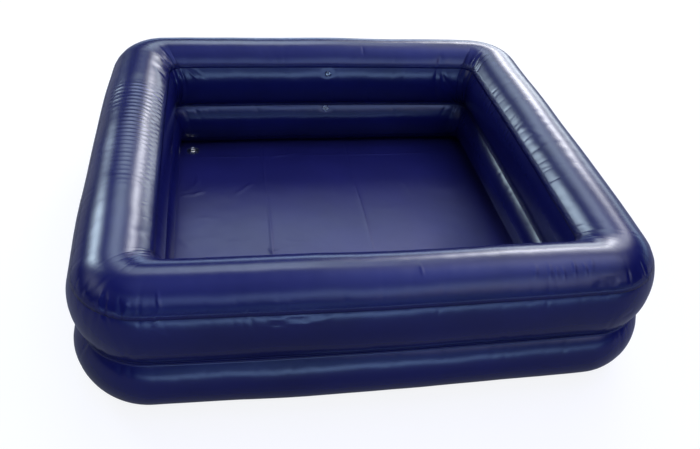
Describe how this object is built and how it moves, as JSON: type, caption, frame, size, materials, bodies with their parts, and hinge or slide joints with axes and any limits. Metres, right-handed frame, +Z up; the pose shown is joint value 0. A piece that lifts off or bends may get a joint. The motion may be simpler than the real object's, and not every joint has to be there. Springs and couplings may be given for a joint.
{
  "type": "inflatable pool",
  "caption": "Square inflatable pool with stacked air chambers, a sheet floor, pop-out inflation valves in the rear inner wall and a floor drain.",
  "frame": {"origin": "centre of the underside, on the ground", "axes": "+X along the long side to the right seen from the front, +Y to the rear where the valves are, +Z up"},
  "size_m": [1.545, 1.473, 0.3905],
  "materials": {
    "navy_vinyl": "satin-gloss welded vinyl sheet",
    "navy_floor_vinyl": "satin vinyl sheet with packing creases",
    "clear_soft_vinyl": "clear soft moulded vinyl"
  },
  "bodies": {
    "pool": {"top_panel": "navy_vinyl", "upper_outer_wall": "navy_vinyl", "upper_inner_wall": "navy_vinyl", "chamber_web": "navy_vinyl", "lower_outer_wall": "navy_vinyl", "lower_inner_wall": "navy_vinyl", "floor_sheet": "navy_floor_vinyl", "upper_valve_flange": "clear_soft_vinyl", "lower_valve_flange": "clear_soft_vinyl", "drain_fitting": "clear_soft_vinyl", "drain_strap": "clear_soft_vinyl"},
    "upper_valve_stem": {"upper_valve_stem": "clear_soft_vinyl", "upper_valve_strap": "clear_soft_vinyl"},
    "upper_valve_plug": {"upper_valve_plug": "clear_soft_vinyl"},
    "upper_valve_flap": {"upper_valve_flap": "clear_soft_vinyl"},
    "lower_valve_stem": {"lower_valve_stem": "clear_soft_vinyl", "lower_valve_strap": "clear_soft_vinyl"},
    "lower_valve_plug": {"lower_valve_plug": "clear_soft_vinyl"},
    "lower_valve_flap": {"lower_valve_flap": "clear_soft_vinyl"},
    "drain_plug": {"drain_plug": "clear_soft_vinyl"}
  },
  "joints": [
    {"name": "upper_valve_pop_out", "type": "slide", "parent": "pool", "child": "upper_valve_stem", "axis": [0, -0.94, 0.3412], "range_m": [0, 0.0127]},
    {"name": "upper_valve_plug_pull", "type": "slide", "parent": "upper_valve_stem", "child": "upper_valve_plug", "axis": [0, -0.94, 0.3412], "range_m": [0, 0.012]},
    {"name": "upper_valve_flap_swing", "type": "hinge", "parent": "upper_valve_stem", "child": "upper_valve_flap", "pos_m": [0.01, 0.52664, 0.30871], "axis": [1, 0, 0], "range_deg": [0, 75], "stiffness_Nm_per_rad": 0.0002, "springref_deg": -17.19},
    {"name": "lower_valve_pop_out", "type": "slide", "parent": "pool", "child": "lower_valve_stem", "axis": [0, -0.7724, 0.6351], "range_m": [0, 0.0127]},
    {"name": "lower_valve_plug_pull", "type": "slide", "parent": "lower_valve_stem", "child": "lower_valve_plug", "axis": [0, -0.7724, 0.6351], "range_m": [0, 0.012]},
    {"name": "lower_valve_flap_swing", "type": "hinge", "parent": "lower_valve_stem", "child": "lower_valve_flap", "pos_m": [0.01, 0.53233, 0.15698], "axis": [1, 0, 0], "range_deg": [0, 75], "stiffness_Nm_per_rad": 0.0002, "springref_deg": -17.19},
    {"name": "drain_plug_pull", "type": "slide", "parent": "pool", "child": "drain_plug", "axis": [0, 0, 1], "range_m": [0, 0.02]}
  ]
}
